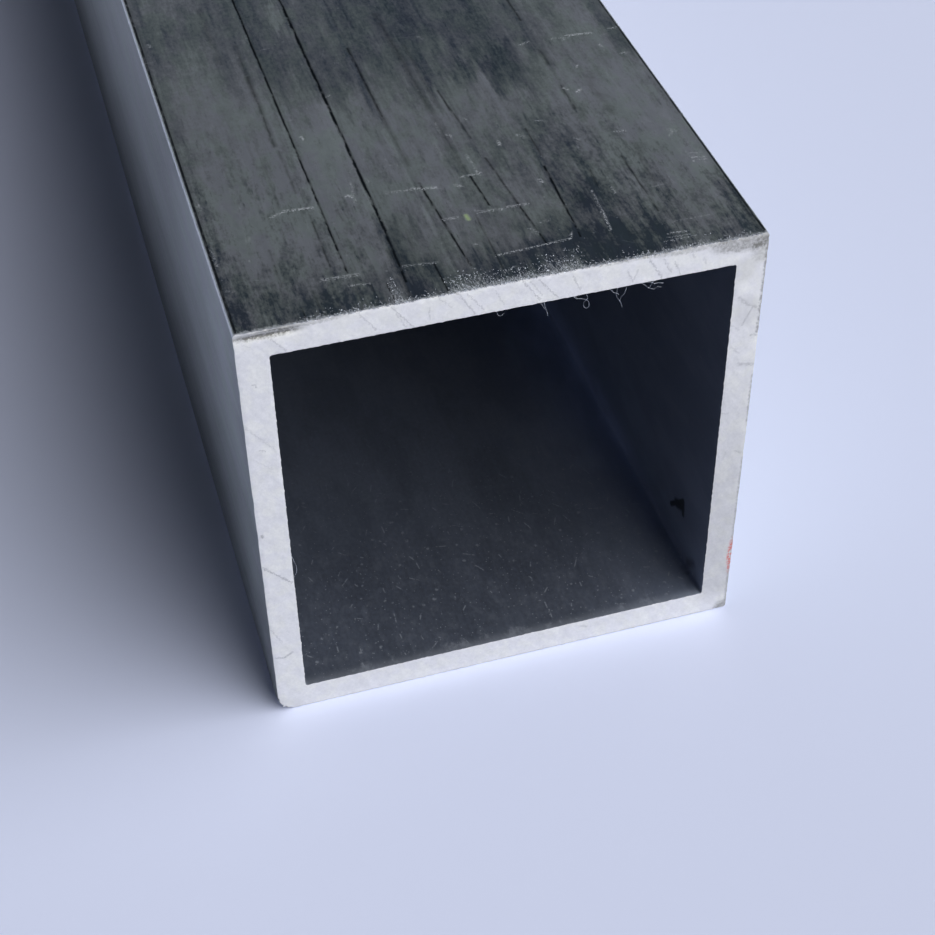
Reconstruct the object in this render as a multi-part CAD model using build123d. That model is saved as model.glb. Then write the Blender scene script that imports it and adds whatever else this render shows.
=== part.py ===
from build123d import *
import os

# One length of extruded aluminium square box section, lying on one of its flat sides.
# X goes across the section, Y along the tube, Z up from the side that it lies on.
# The sawn end that the photograph shows faces -Y. The origin is the middle of the lower side.

# Driving dimensions, in millimetres
side = 50.0                  # outside width and height of the section
wall = 3.0                   # wall thickness, the same on all four sides
length = 500.0               # from one saw cut to the other
outer_corner_radius = 0.4    # the die leaves the four long outer edges almost sharp
inner_corner_radius = 0.3    # and the four inner ones too

os.makedirs("parts", exist_ok=True)


def square_with_corners(width, corner_radius):
    """A square outline, centred on the origin, with its four corners rounded."""
    return RectangleRounded(width, width, corner_radius)


def box_section():
    """The tube's section: four walls of one thickness round a square bore."""
    bore_width = side - 2 * wall
    outline = square_with_corners(side, outer_corner_radius)
    bore = square_with_corners(bore_width, inner_corner_radius)
    return outline - bore


def square_tube():
    """The section carried from saw cut to saw cut, square to the length."""
    near_cut = Plane(origin=(0, -length / 2, side / 2), x_dir=(1, 0, 0), z_dir=(0, 1, 0))
    return extrude(near_cut * box_section(), amount=length)


export_step(square_tube(), "parts/square_tube.step")
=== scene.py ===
import math

import bpy
from mathutils import Matrix, Vector, noise


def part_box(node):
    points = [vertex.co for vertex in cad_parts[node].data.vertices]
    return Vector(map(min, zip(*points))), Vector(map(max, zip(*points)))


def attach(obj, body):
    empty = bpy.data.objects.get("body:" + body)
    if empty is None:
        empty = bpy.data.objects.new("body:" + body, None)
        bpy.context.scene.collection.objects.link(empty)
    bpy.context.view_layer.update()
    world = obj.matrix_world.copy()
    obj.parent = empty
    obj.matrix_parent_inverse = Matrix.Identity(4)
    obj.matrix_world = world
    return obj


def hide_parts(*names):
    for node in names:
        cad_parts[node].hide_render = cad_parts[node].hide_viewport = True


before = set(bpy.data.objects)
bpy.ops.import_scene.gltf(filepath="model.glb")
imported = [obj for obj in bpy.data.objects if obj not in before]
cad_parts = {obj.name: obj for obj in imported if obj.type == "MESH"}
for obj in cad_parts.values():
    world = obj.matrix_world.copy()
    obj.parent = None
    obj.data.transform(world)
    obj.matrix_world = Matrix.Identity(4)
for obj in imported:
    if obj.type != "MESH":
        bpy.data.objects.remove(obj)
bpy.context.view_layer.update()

mm = 0.001

tubeLow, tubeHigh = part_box("square_tube")
side = tubeHigh.x - tubeLow.x
length = tubeHigh.y - tubeLow.y
nearEnd = tubeLow.y              # the sawn end that the camera looks at
farEnd = tubeHigh.y
topFace = tubeHigh.z


# Small tools for building node trees


class Wire:
    # An output of a node that plain sums can be written with. Each sign in them adds a Math node.
    def __init__(self, socket):
        self.socket = socket
        self.tree = socket.id_data

    def __abs__(self):
        return calc("ABSOLUTE", self)

    def __lt__(self, other):
        return calc("LESS_THAN", self, other)

    def __gt__(self, other):
        return calc("GREATER_THAN", self, other)


signs = {"add": "ADD", "sub": "SUBTRACT", "mul": "MULTIPLY", "truediv": "DIVIDE", "pow": "POWER"}
for sign, meaning in signs.items():
    setattr(Wire, f"__{sign}__", lambda self, other, operation=meaning: calc(operation, self, other))
    setattr(Wire, f"__r{sign}__", lambda self, other, operation=meaning: calc(operation, other, self))


class Made:
    # A node in a tree. Its outputs are read as wires, by name or number.
    def __init__(self, node):
        self.node = node

    def __getitem__(self, key):
        return Wire(self.node.outputs[key])


def treeOf(*values):
    return next(value.tree for value in values if isinstance(value, Wire))


def feed(value, socket):
    if isinstance(value, Wire):
        value.tree.links.new(value.socket, socket)
    else:
        socket.default_value = (*value, 1) if socket.type == "RGBA" and len(value) == 3 else value


def addNode(tree, kind, inputs=None, **settings):
    node = tree.nodes.new(kind)
    for key, value in settings.items():
        setattr(node, key, value)
    for key, value in (inputs or {}).items():
        feed(value, node.inputs[key])
    return Made(node)


def newGroup(name, kind, inputs, outputs):
    # Each input has its first value, or just its type
    tree = bpy.data.node_groups.new(name, kind)
    types = {float: "Float", int: "Int", tuple: "Vector"}
    for label, first in inputs.items():
        socketType = "NodeSocket" + types.get(type(first), first)
        socket = tree.interface.new_socket(label, in_out="INPUT", socket_type=socketType)
        if type(first) in types:
            socket.default_value = first
    for label, socketType in outputs.items():
        tree.interface.new_socket(label, in_out="OUTPUT", socket_type="NodeSocket" + socketType)
    return tree, Made(tree.nodes.new("NodeGroupInput")), tree.nodes.new("NodeGroupOutput").inputs


def useGroup(tree, group, **inputs):
    # Socket names are given with _ for a space
    named = {label.replace("_", " "): value for label, value in inputs.items()}
    return addNode(tree, group.bl_idname.replace("Tree", "Group"), named, node_tree=group)


def calc(operation, *values, clamp=False):
    # One vector among the values makes it a Vector Math node
    tree, inputs = treeOf(*values), dict(enumerate(values))
    kinds = [value.socket.type if isinstance(value, Wire) else type(value) for value in values]
    if tuple in kinds or "VECTOR" in kinds:
        made = addNode(tree, "ShaderNodeVectorMath", inputs, operation=operation)
        return made["Value" if operation in ("DOT_PRODUCT", "LENGTH", "DISTANCE") else "Vector"]
    return addNode(tree, "ShaderNodeMath", inputs, operation=operation, use_clamp=clamp)[0]


def timesPlus(value, factor, added):
    return calc("MULTIPLY_ADD", value, factor, added)


def larger(first, second):
    return calc("MAXIMUM", first, second)


def smaller(first, second):
    return calc("MINIMUM", first, second)


def vectorOf(x, y=0.0, z=0.0):
    return addNode(treeOf(x, y, z), "ShaderNodeCombineXYZ", {"X": x, "Y": y, "Z": z})[0]


def axes(vector):
    return addNode(vector.tree, "ShaderNodeSeparateXYZ", {0: vector})


def scaleBy(vector, factor):
    return addNode(vector.tree, "ShaderNodeVectorMath", {0: vector, "Scale": factor}, operation="SCALE")[0]


def rotated(vector, angle):
    inputs = {"Vector": vector, "Angle": angle}
    return addNode(vector.tree, "ShaderNodeVectorRotate", inputs, rotation_type="Z_AXIS")[0]


def ease(value, start, end, low=0.0, high=1.0, shape="SMOOTHSTEP"):
    # Runs from low to high as the value goes from start to end
    inputs = {"Value": value, "From Min": start, "From Max": end, "To Min": low, "To Max": high}
    return addNode(value.tree, "ShaderNodeMapRange", inputs, interpolation_type=shape)[0]


def mixColour(factor, first, second, blend="MIX"):
    inputs = {0: factor, 6: first, 7: second}
    return addNode(treeOf(*inputs.values()), "ShaderNodeMix", inputs, data_type="RGBA", blend_type=blend)[2]


def multiplied(first, second):
    return mixColour(1.0, first, second, "MULTIPLY")


def noiseOf(place, scale, detail, roughness, **settings):
    inputs = {"Vector": place, "Scale": scale, "Detail": detail, "Roughness": roughness}
    return addNode(place.tree, "ShaderNodeTexNoise", inputs, **settings)


def strongest(values):
    most = values[0]
    for value in values[1:]:
        most = larger(most, value)
    return most


def pointHere(tree):
    return addNode(tree, "GeometryNodeInputPosition")[0]


# The tube: one section walked round and along, closed at both saw cuts

tubeShape = {
    "wall": 3.0 * mm,
    "outerCorner": 0.4 * mm,
    "innerCorner": 0.3 * mm,
    "sideSteps": 180,        # steps along one straight side of the section
    "cornerSteps": 5,        # steps round one corner
    "wallSteps": 11,         # steps through the wall on a sawn end
    "lengthSteps": 46,       # steps along the tube
    "crowding": 2.4,         # above 1, the steps along the tube crowd towards both ends
    # Lines that the die dragged into the upper side, in mm from its middle
    "grooves": (-13.4, -8.5, -4.0),
    "grooveHalfWidth": 0.15,
    "grooveDepth": 0.025,
}


def makeSquareOutline():
    tree, given, result = newGroup("squareOutline", "GeometryNodeTree", {
        "Step": 0.0, "Half Width": 0.025, "Corner Radius": 0.0004, "Side Steps": 10.0, "Corner Steps": 4.0},
        {"Point": "Vector"})
    perQuarter = given["Side Steps"] + given["Corner Steps"]
    quarter = calc("FLOOR", (given["Step"] + 0.5) / perQuarter)
    inQuarter = given["Step"] - quarter * perQuarter
    along = smaller(inQuarter, given["Side Steps"]) / given["Side Steps"]
    pastSide = larger(inQuarter - given["Side Steps"], 0.0)
    turn = pastSide / given["Corner Steps"] * (math.pi / 2)
    flat = given["Half Width"] - given["Corner Radius"]
    out = flat + given["Corner Radius"] * calc("COSINE", turn)
    straight = flat * timesPlus(along, 2.0, -1.0)
    up = straight + given["Corner Radius"] * calc("SINE", turn)
    feed(rotated(vectorOf(out, up), quarter * (math.pi / 2)), result["Point"])
    return tree


def makeTubeTree():
    tree, given, result = newGroup("squareTube", "GeometryNodeTree", {
        "Side": 0.05, "Wall": 0.003, "Length": 0.5, "Outer Corner": 0.0004, "Inner Corner": 0.0003,
        "Side Steps": 10, "Corner Steps": 4, "Wall Steps": 4, "Length Steps": 10, "Crowding": 2.0,
        "Handled Reach": 0.05, "Outside Finish": "Material", "Upper Finish": "Material",
        "Handled Finish": "Material", "Bore Finish": "Material", "Sawn Finish": "Material"},
        {"Tube": "Geometry"})
    # A flat grid whose columns go round the section and whose rows go out along the tube,
    # in through the far wall, back along the bore and out through the near wall
    around = (given["Side Steps"] + given["Corner Steps"]) * 4.0
    endSteps, wallSteps = given["Length Steps"], given["Wall Steps"]
    loop = (endSteps + wallSteps) * 2.0
    grid = addNode(tree, "GeometryNodeMeshGrid", {
        "Size X": around, "Size Y": loop, "Vertices X": around + 1.0, "Vertices Y": loop + 1.0})
    place = axes(pointHere(tree))
    step = calc("ROUND", place["X"] + around * 0.5)
    row = calc("ROUND", place["Y"] + loop * 0.5)
    kept = addNode(tree, "GeometryNodeCaptureAttribute", {"Geometry": grid["Mesh"]}, domain="POINT")
    kept.node.capture_items.new("FLOAT", "row")
    feed(row, kept.node.inputs["row"])

    farCut = endSteps + wallSteps
    boreEnd = farCut + endSteps

    def ramp(value, start, steps):
        return calc("DIVIDE", value - start, steps, clamp=True)

    along = ramp(row, 0.0, endSteps) - ramp(row, farCut, endSteps)
    inward = ramp(row, endSteps, wallSteps) - ramp(row, boreEnd, wallSteps)
    centred = timesPlus(along, 2.0, -1.0)
    fromEnd = (1.0 - abs(centred)) ** given["Crowding"]
    reach = calc("SIGN", centred) * (1.0 - fromEnd)
    y = reach * (given["Length"] * 0.5)

    halfSide = given["Side"] * 0.5
    halfBore = halfSide - given["Wall"]
    outlineTree = makeSquareOutline()
    outlines = [
        useGroup(tree, outlineTree, Step=step, Half_Width=halfWidth, Corner_Radius=corner,
                 Side_Steps=given["Side Steps"], Corner_Steps=given["Corner Steps"])["Point"]
        for halfWidth, corner in ((halfSide, given["Outer Corner"]), (halfBore, given["Inner Corner"]))]
    section = addNode(tree, "ShaderNodeMix", {0: inward, 4: outlines[0], 5: outlines[1]}, data_type="VECTOR")
    flat = axes(section[1])
    point = vectorOf(flat["X"], y, flat["Y"] + halfSide)
    shaped = addNode(tree, "GeometryNodeSetPosition", {"Geometry": kept["Geometry"], "Position": point})

    # A face's row is the mean of its corners', so it says which wall or cut the face is on
    faceRow = kept["row"]
    onBore = (faceRow > farCut) * (faceRow < boreEnd)
    onFarCut = (faceRow > endSteps) * (faceRow < farCut)
    onCut = onFarCut + (faceRow > boreEnd)
    # The handled part is the upper side by the near cut
    here = axes(pointHere(tree))
    onUpper = here["Z"] > given["Side"] - 0.005 * mm
    fromNear = timesPlus(given["Length"], 0.5, here["Y"])
    onHandled = onUpper * (fromNear < given["Handled Reach"]) * (faceRow < endSteps)
    made = shaped[0]
    finished = {"Outside": True, "Upper": onUpper, "Handled": onHandled, "Bore": onBore, "Sawn": onCut}
    for finish, where in finished.items():
        made = addNode(tree, "GeometryNodeSetMaterial", {
            "Geometry": made, "Selection": where, "Material": given[finish + " Finish"]})[0]
    closed = addNode(tree, "GeometryNodeMergeByDistance", {"Geometry": made, "Distance": 0.01 * mm})
    outwards = addNode(tree, "GeometryNodeFlipFaces", {"Mesh": closed[0]})
    real = addNode(tree, "GeometryNodeRealizeInstances", {"Geometry": outwards[0]})
    feed(real[0], result["Tube"])
    return tree


def runTree(tree, name, values, hostData=None):
    # Puts the tree on a host, sets its inputs, and keeps what it makes as a plain mesh
    host = bpy.data.objects.new(name + "Host", hostData or bpy.data.meshes.new(name + "Host"))
    bpy.context.collection.objects.link(host)
    modifier = host.modifiers.new(name, "NODES")
    modifier.node_group = tree
    sockets = {item.name: item.identifier for item in tree.interface.items_tree if item.in_out == "INPUT"}
    for label, value in values.items():
        modifier[sockets[label]] = value
    evaluated = host.evaluated_get(bpy.context.evaluated_depsgraph_get())
    mesh = bpy.data.meshes.new_from_object(evaluated)
    host.modifiers.remove(modifier)
    bpy.data.objects.remove(host)
    mesh.name = name
    if mesh.materials and mesh.materials[0] is None:
        mesh.materials.pop(index=0)                  # the empty slot of the mesh that the tree began with
    piece = bpy.data.objects.new(name, mesh)
    bpy.context.collection.objects.link(piece)
    return piece


# What the saw and the die left in the shape, all in mm

cutShape = {
    "setBack": 0.12,           # how far the sawn face stands inside the reach of its burrs
    "ridge": 0.014,            # the saw's ridges
    "fineRidge": 0.006,
    "sawLean": math.radians(-55),
    "ragged": 0.09,            # how far the outer edge wanders
    "brokenEdge": 0.012,       # the outer edge is worn in by this much
    "waver": 0.09,             # the sides wander in by up to this much at the cut
    "innerBurr": 0.10,         # the inner edges stand into the bore by up to this much
    "innerFade": 0.9,
    "waverFade": 1.5,
    "fade": 3.0,               # the unevenness has gone this far along the tube
    "topDip": 0.06,            # the upper side rolls down a little at the cut
    "dipFlat": 3.5,
    "dipEnd": 7.5,
    "knockedCorner": 2.1,      # radius that the lower left corner of the near end was knocked to
    "knockedFade": 3.0,
    "lipTo": -18.5,            # a burr folded over the upper edge, left of here, and the groove under it
    "grooveUp": 49.25,
}


def smooth(value, start, end):
    t = min(max((value - start) / (end - start), 0.0), 1.0)
    return t * t * (3 - 2 * t)


def roam(*place):
    return noise.noise(Vector(place))


def sawnDepth(x, z, seed):
    # How far a point of the cut lies behind the tube's end, in mm
    lean = cutShape["sawLean"]
    across = -x * math.sin(lean) + z * math.cos(lean)
    along = x * math.cos(lean) + z * math.sin(lean)
    depth = cutShape["setBack"]
    depth += cutShape["ridge"] * roam(across * 1.7, along * 0.1, seed)
    depth += cutShape["fineRidge"] * roam(across * 5.0, along * 0.3, seed + 9)
    return depth


def lipDepth(x, z):
    inLip = smooth(x, cutShape["lipTo"] + 1.0, cutShape["lipTo"] - 2.0)
    groove = 0.16 * math.exp(-((z - cutShape["grooveUp"]) / 0.28) ** 2)
    lip = -0.07 * smooth(z, 49.55, 49.8)
    return inLip * (groove + lip)


def weather(mesh):
    half = side / mm / 2
    top = topFace / mm
    spacing = (side / mm - 2 * tubeShape["outerCorner"] / mm) / tubeShape["sideSteps"]
    bore = half - tubeShape["wall"] / mm
    for vertex in mesh.vertices:
        x, y, z = vertex.co.x / mm, vertex.co.y / mm, vertex.co.z / mm
        fromNear, fromFar = y - nearEnd / mm, farEnd / mm - y
        fromCut = min(fromNear, fromFar)
        near = fromNear < fromFar
        reach = max(abs(x), abs(z - half))
        outer = reach > half - 0.01
        corner = abs(x) > half - 0.45 and abs(z - half) > half - 0.45
        onTop = z > top - 0.01

        if onTop and abs(x) < half - 1.0:
            for line in tubeShape["grooves"]:
                steps = (x - line) / spacing
                if abs(steps) < 0.5:
                    x = line
                    z -= tubeShape["grooveDepth"]
                elif abs(steps) < 1.5:
                    x = line + math.copysign(tubeShape["grooveHalfWidth"], steps)

        if fromCut < cutShape["dipEnd"]:
            seed = 3.0 if near else 40.0
            if onTop:
                rolled = 1 - smooth(fromCut, cutShape["dipFlat"], cutShape["dipEnd"])
                z -= cutShape["topDip"] * rolled * smooth(half - abs(x), 0.0, 1.0)
            if fromCut < cutShape["fade"]:
                depth = sawnDepth(x, z, seed)
                if near:
                    depth += lipDepth(x, z)
                if outer or corner:
                    edge = roam(x * 2.2, z * 2.2, seed + 5)
                    depth += cutShape["ragged"] * (0.45 + edge)
                elif abs(reach - bore) < 0.01:
                    depth += 0.05 * abs(roam(x * 1.3, z * 1.3, seed + 21))
                depth = max(depth, 0.01)
                fade = 1 - fromCut / cutShape["fade"]
                y += depth * fade if near else -depth * fade
            if fromCut < 0.01 and (outer or corner):
                worn = cutShape["brokenEdge"] * (1 + 0.8 * roam(x * 1.5, z * 1.5, seed + 31))
                x -= math.copysign(worn, x) if abs(x) > half - 0.5 else 0.0
                z -= math.copysign(worn, z - half) if abs(z - half) > half - 0.5 else 0.0
            if fromCut < cutShape["waverFade"] and abs(x) > half - 0.45:
                bay = max(roam(z * 0.45, seed, math.copysign(7.0, x)) - 0.05, 0.0)
                bay += 0.5 * max(roam(z * 1.9, seed + 3, math.copysign(7.0, x)), 0.0)
                x -= math.copysign(cutShape["waver"] * bay * (1 - fromCut / cutShape["waverFade"]), x)
            if abs(reach - bore) < 0.01 and fromCut < cutShape["innerFade"]:
                burrs = 0.4 * max(roam(x * 0.9, z * 0.9, seed + 51), 0.0)
                burrs += max(roam(x * 3.1, z * 3.1, seed + 57), 0.0)
                inward = 1 - cutShape["innerBurr"] * burrs * (1 - fromCut / cutShape["innerFade"]) ** 2 / bore
                x, z = x * inward, half + (z - half) * inward
            if near and fromCut < cutShape["knockedFade"]:
                radius = cutShape["knockedCorner"] * (1 - fromCut / cutShape["knockedFade"]) ** 1.5
                radius *= 1 + 0.45 * roam(x * 2.6, y * 2.6, z * 2.6)
                inX, inZ = radius - (x + half), radius - z
                if radius > 0.4 and inX > 0 and inZ > 0 and math.hypot(inX, inZ) > radius:
                    shrink = radius / math.hypot(inX, inZ)
                    x, z = radius - half - inX * shrink, radius - inZ * shrink
        vertex.co = Vector((x, y, z)) * mm
    mesh.update()


def makeTube(finishes):
    piece = runTree(makeTubeTree(), "tubeBody", {
        "Side": side, "Wall": tubeShape["wall"], "Length": length,
        "Outer Corner": tubeShape["outerCorner"], "Inner Corner": tubeShape["innerCorner"],
        "Side Steps": tubeShape["sideSteps"], "Corner Steps": tubeShape["cornerSteps"],
        "Wall Steps": tubeShape["wallSteps"], "Length Steps": tubeShape["lengthSteps"],
        "Crowding": tubeShape["crowding"], "Handled Reach": handled["reach"], **finishes})
    mesh = piece.data
    weather(mesh)
    mesh.shade_smooth()
    mesh.set_sharp_from_angle(angle=math.radians(30))
    print("tube:", len(mesh.polygons), "faces,", len(mesh.vertices), "points,", list(mesh.materials))
    return piece


# The crumbs and slivers that the saw left along the upper edge of the near end

crumbs = {
    "surface": topFace - 0.055 * mm,
    "widest": 0.05 * mm,
    "thickest": 0.04 * mm,
    # From x, to x, from y, to y in mm from the cut, how many in a square mm, fade, longest in mm, seed
    "bands": [
        (3.3, 7.6, 0.1, 3.6, 27.0, 0.4, 0.18, 3),
        (-5.5, -1.6, 0.1, 3.2, 31.0, 0.5, 0.18, 23),
        (-1.8, 3.4, 0.1, 2.6, 38.0, 0.6, 0.18, 27),
        (-10.4, -9.7, 0.1, 4.2, 60.0, 0.5, 0.17, 8),
        (-19.0, 24.4, 0.0, 1.0, 75.0, 1.2, 0.24, 5),
        (-24.6, -19.0, 0.0, 0.5, 18.0, 1.5, 0.15, 12),
        (8.0, 23.0, 0.2, 2.4, 5.0, 1.0, 0.12, 16),
        (-20.0, -5.0, 0.2, 2.0, 7.0, 1.0, 0.12, 19),
    ],
}


def makeCrumbBand():
    tree, given, result = newGroup("crumbBand", "GeometryNodeTree", {
        "Low": "Vector", "High": "Vector", "Density": 1e6, "Fade": 1.0, "Longest": 0.0001,
        "Widest": 0.00005, "Thickest": 0.00004, "Seed": 0}, {"Crumbs": "Geometry"})
    size = axes(given["High"] - given["Low"])
    sheet = addNode(tree, "GeometryNodeMeshGrid", {
        "Size X": size["X"], "Size Y": size["Y"], "Vertices X": 40, "Vertices Y": 12})
    middle = (given["High"] + given["Low"]) * (0.5, 0.5, 0.5)
    laid = addNode(tree, "GeometryNodeSetPosition", {"Geometry": sheet["Mesh"], "Offset": middle})
    here = pointHere(tree)
    out = calc("DIVIDE", axes(here)["Y"] - axes(given["Low"])["Y"], size["Y"], clamp=True)
    thinning = (1.0 - out) ** given["Fade"]
    clumps = ease(noiseOf(here, 900.0, 3.0, 0.7)[0], 0.34, 0.66, 0.1)
    density = given["Density"] * (thinning * clumps)
    spots = addNode(tree, "GeometryNodeDistributePointsOnFaces", {
        "Mesh": laid[0], "Density": density, "Seed": given["Seed"]})

    def random(low, high, offset):
        inputs = {0: low, 1: high, "Seed": given["Seed"] + offset}
        return addNode(tree, "FunctionNodeRandomValue", inputs, data_type="FLOAT_VECTOR")[0]

    crumb = addNode(tree, "GeometryNodeMeshIcoSphere", {"Radius": 1.0, "Subdivisions": 1})
    largest = vectorOf(given["Longest"], given["Widest"], given["Thickest"])
    smallest = largest * (0.2, 0.35, 0.4)
    turned = addNode(tree, "FunctionNodeEulerToRotation", {0: random((-0.3, -0.3, 0.6), (0.3, 0.3, 2.7), 7)})
    grown = addNode(tree, "GeometryNodeInstanceOnPoints", {
        "Points": spots["Points"], "Instance": crumb["Mesh"],
        "Rotation": turned[0], "Scale": random(smallest, largest, 11)})
    feed(grown[0], result["Crumbs"])
    return tree


def makeCrumbs(metal):
    tree, given, result = newGroup("sawCrumbs", "GeometryNodeTree", {
        "Widest": 0.00005, "Thickest": 0.00004, "Lowest Y": 0.0, "Highest Z": 0.05, "Metal": "Material"},
        {"Crumbs": "Geometry"})
    band = makeCrumbBand()
    joined = addNode(tree, "GeometryNodeJoinGeometry")
    for fromX, toX, fromY, toY, number, fade, longest, seed in crumbs["bands"]:
        low = (fromX * mm, nearEnd + fromY * mm, crumbs["surface"])
        high = (toX * mm, nearEnd + toY * mm, crumbs["surface"])
        scattered = useGroup(tree, band, Low=low, High=high, Density=number / mm ** 2, Fade=fade,
                             Longest=longest * mm, Widest=given["Widest"], Thickest=given["Thickest"],
                             Seed=seed)
        feed(scattered["Crumbs"], joined.node.inputs[0])
    real = addNode(tree, "GeometryNodeRealizeInstances", {"Geometry": joined[0]})[0]
    here = axes(pointHere(tree))
    kept = vectorOf(here["X"], larger(here["Y"], given["Lowest Y"]), smaller(here["Z"], given["Highest Z"]))
    inside = addNode(tree, "GeometryNodeSetPosition", {"Geometry": real, "Position": kept})[0]
    finished = addNode(tree, "GeometryNodeSetMaterial", {"Geometry": inside, "Material": given["Metal"]})
    feed(finished[0], result["Crumbs"])
    piece = runTree(tree, "sawCrumbs", {
        "Widest": crumbs["widest"], "Thickest": crumbs["thickest"], "Lowest Y": nearEnd,
        "Highest Z": topFace, "Metal": metal})
    print("crumbs:", len(piece.data.polygons), "faces")
    return piece


# The fine curls of swarf that hang from the inner edges of the near end

swarf = {
    "thickness": 0.014 * mm,
    "kink": 0.26 * mm,
    "stepLength": 0.12 * mm,
    # each curl goes through these points: across, behind the cut, up, in mm
    "curls": [
        [(3.3, 0.3, 47.1), (3.4, 0.2, 46.6), (3.5, 0.2, 46.0), (3.7, 0.25, 45.3)],
        [(2.9, 0.3, 47.0), (3.1, 0.2, 46.6), (3.5, 0.2, 46.0)],
        [(5.8, 0.3, 47.1), (6.3, 0.2, 46.6), (6.9, 0.25, 46.5), (7.5, 0.3, 46.1), (7.8, 0.4, 45.5),
         (7.7, 0.5, 45.0), (7.4, 0.6, 44.9), (7.2, 0.6, 45.3), (7.3, 0.5, 45.9), (7.6, 0.4, 46.3),
         (7.4, 0.5, 46.7)],
        [(10.5, 0.3, 47.1), (10.2, 0.2, 46.4), (10.3, 0.25, 45.8), (10.8, 0.3, 45.2), (11.0, 0.4, 44.4)],
        [(11.3, 0.3, 47.1), (11.1, 0.25, 46.2), (10.8, 0.3, 45.6), (10.6, 0.3, 45.2)],
        [(9.4, 0.3, 47.1), (9.9, 0.2, 46.5), (10.5, 0.2, 46.1)],
        [(12.3, 0.3, 47.1), (13.0, 0.2, 46.6), (13.6, 0.25, 46.1), (14.0, 0.3, 45.8), (14.2, 0.4, 46.1),
         (14.7, 0.4, 45.9)],
        [(13.0, 0.3, 47.0), (13.8, 0.2, 46.6), (14.4, 0.2, 46.6), (14.9, 0.3, 46.4)],
        [(13.4, 0.3, 46.1), (13.7, 0.25, 46.6), (14.0, 0.3, 47.1)],
        [(-1.2, 0.3, 47.1), (-1.1, 0.2, 46.5), (-0.8, 0.2, 46.2), (-0.4, 0.3, 46.5)],
        [(-21.9, 0.3, 21.8), (-21.6, 0.25, 20.6), (-21.6, 0.2, 19.8), (-21.8, 0.3, 19.1), (-22.1, 0.3, 18.7)],
    ],
}


def makeSwarf(metal):
    tree, given, result = newGroup("swarfCurls", "GeometryNodeTree", {
        "Curls": "Geometry", "Thickness": 0.00004, "Kink": 0.00005, "Step": 0.0001, "Metal": "Material"},
        {"Swarf": "Geometry"})
    inputs = {"Curve": given["Curls"], "Length": given["Step"]}
    stepped = addNode(tree, "GeometryNodeResampleCurve", inputs, mode="LENGTH")
    wander = noiseOf(pointHere(tree), 1700.0, 2.0, 0.5)[1]
    kink = scaleBy(wander - (0.5, 0.5, 0.5), given["Kink"])
    kinked = addNode(tree, "GeometryNodeSetPosition", {"Geometry": stepped[0], "Offset": kink})
    progress = addNode(tree, "GeometryNodeSplineParameter")["Factor"]
    taper = 1.0 - progress ** 2.0 * 0.6
    thin = addNode(tree, "GeometryNodeSetCurveRadius", {"Curve": kinked[0], "Radius": taper})
    inputs = {"Resolution": 6, "Radius": given["Thickness"]}
    profile = addNode(tree, "GeometryNodeCurvePrimitiveCircle", inputs)
    wire = addNode(tree, "GeometryNodeCurveToMesh", {
        "Curve": thin[0], "Profile Curve": profile["Curve"], "Fill Caps": True})
    real = addNode(tree, "GeometryNodeRealizeInstances", {"Geometry": wire[0]})
    finished = addNode(tree, "GeometryNodeSetMaterial", {"Geometry": real[0], "Material": given["Metal"]})
    feed(finished[0], result["Swarf"])

    curls = bpy.data.curves.new("swarfPaths", "CURVE")
    curls.dimensions = "3D"
    for points in swarf["curls"]:
        spline = curls.splines.new("NURBS")
        spline.points.add(len(points) - 1)
        for point, (x, back, z) in zip(spline.points, points):
            point.co = (x * mm, nearEnd + back * mm, z * mm, 1)
        spline.order_u = 3
        spline.use_endpoint_u = True
    piece = runTree(tree, "swarfCurls", {
        "Thickness": swarf["thickness"], "Kink": swarf["kink"], "Step": swarf["stepLength"],
        "Metal": metal}, curls)
    piece.data.shade_smooth()
    print("swarf:", len(piece.data.polygons), "faces")
    return piece


# Shader groups that the finishes share; places in them are in mm, with y from the near cut


def makePlaceOnTube():
    # Round has the way round the section as its first axis, which runs on from one side to the next
    tree, given, result = newGroup("placeOnTube", "ShaderNodeTree", {}, {
        "Place": "Vector", "Round": "Vector", "Across": "Float", "Along": "Float", "Up": "Float",
        "From Cut": "Float"})
    place = scaleBy(addNode(tree, "ShaderNodeTexCoord")["Object"], 1 / mm) + (0, -nearEnd / mm, 0)
    parts = axes(place)
    across, along, up = parts["X"], parts["Y"], parts["Z"]
    values = {"Place": place, "Round": vectorOf(across + up, along), "Across": across, "Along": along,
              "Up": up, "From Cut": smaller(along, length / mm - along)}
    for label, value in values.items():
        feed(value, result[label])
    return tree


def layer(place, scale, detail=2.0, roughness=0.55, seed=0.0):
    # Flat noise with so many features to the mm each way
    moved = timesPlus(place, (*scale, 0), (seed, seed, 0))
    return noiseOf(moved, 1.0, detail, roughness, noise_dimensions="2D")[0]


def swing(value, amount):
    # Noise turned into a swing either way
    return timesPlus(value, amount * 2, -amount)


def greyOf(value):
    return addNode(value.tree, "ShaderNodeCombineColor", {0: value, 1: value, 2: value})[0]


def cellsOf(place, size):
    inputs = {"Vector": place, "Scale": 1.0 / size}
    cells = addNode(place.tree, "ShaderNodeTexVoronoi", inputs, voronoi_dimensions="2D")
    return cells, addNode(place.tree, "ShaderNodeSeparateColor", {0: cells["Color"]})


def makeLineMark():
    tree, given, result = newGroup("lineMark", "ShaderNodeTree", {
        "Place": "Vector", "From": "Vector", "To": "Vector", "Width": 0.1, "Strength": 1.0, "So Far": 0.0},
        {"Mask": "Float"})
    run = given["To"] - given["From"]
    out = given["Place"] - given["From"]
    share = calc("DIVIDE", calc("DOT_PRODUCT", out, run), calc("DOT_PRODUCT", run, run), clamp=True)
    away = calc("DISTANCE", out, scaleBy(run, share))
    mask = timesPlus(away, given["Strength"] / (given["Width"] * -1.0), given["Strength"])
    feed(larger(mask, given["So Far"]), result["Mask"])
    return tree


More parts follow.
